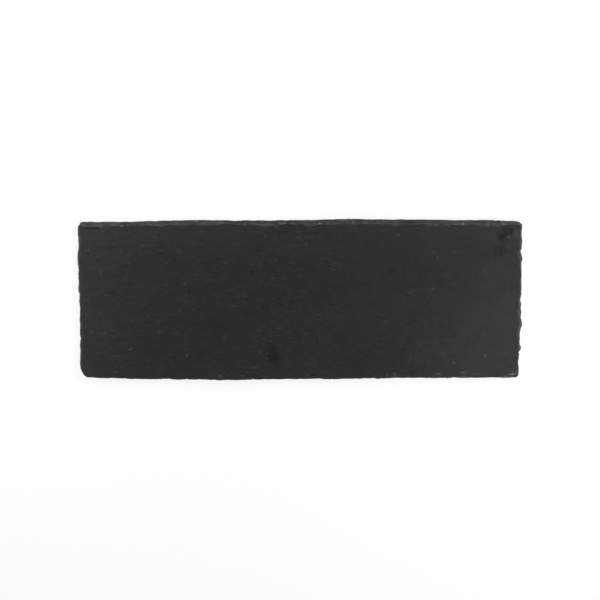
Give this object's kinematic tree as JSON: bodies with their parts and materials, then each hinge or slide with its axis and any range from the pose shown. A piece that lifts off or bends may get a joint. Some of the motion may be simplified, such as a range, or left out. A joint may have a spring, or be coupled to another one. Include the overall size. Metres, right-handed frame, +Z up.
{
  "type": "slate serving board",
  "caption": "Long rectangular serving board of natural slate with chipped edges, a flat riven top and stick-on rubber feet.",
  "frame": {"origin": "centre of the board's outline, on the surface that its feet stand on", "axes": "+X along the board's length, +Y across it to the edge at the top of the picture, +Z up out of the serving surface"},
  "size_m": [0.4, 0.15, 0.0088],
  "materials": {
    "slate": "natural riven slate, dark grey, matt with a faint sheen",
    "foot_rubber": "moulded black rubber, satin",
    "adhesive": "double-sided adhesive disc"
  },
  "bodies": {
    "root": {"slate_slab": "slate", "rubber_foot_far_left": "foot_rubber", "rubber_foot_far_right": "foot_rubber", "rubber_foot_near_left": "foot_rubber", "rubber_foot_near_right": "foot_rubber", "adhesive_disc_far_left": "adhesive", "adhesive_disc_far_right": "adhesive", "adhesive_disc_near_left": "adhesive", "adhesive_disc_near_right": "adhesive"}
  },
  "joints": []
}
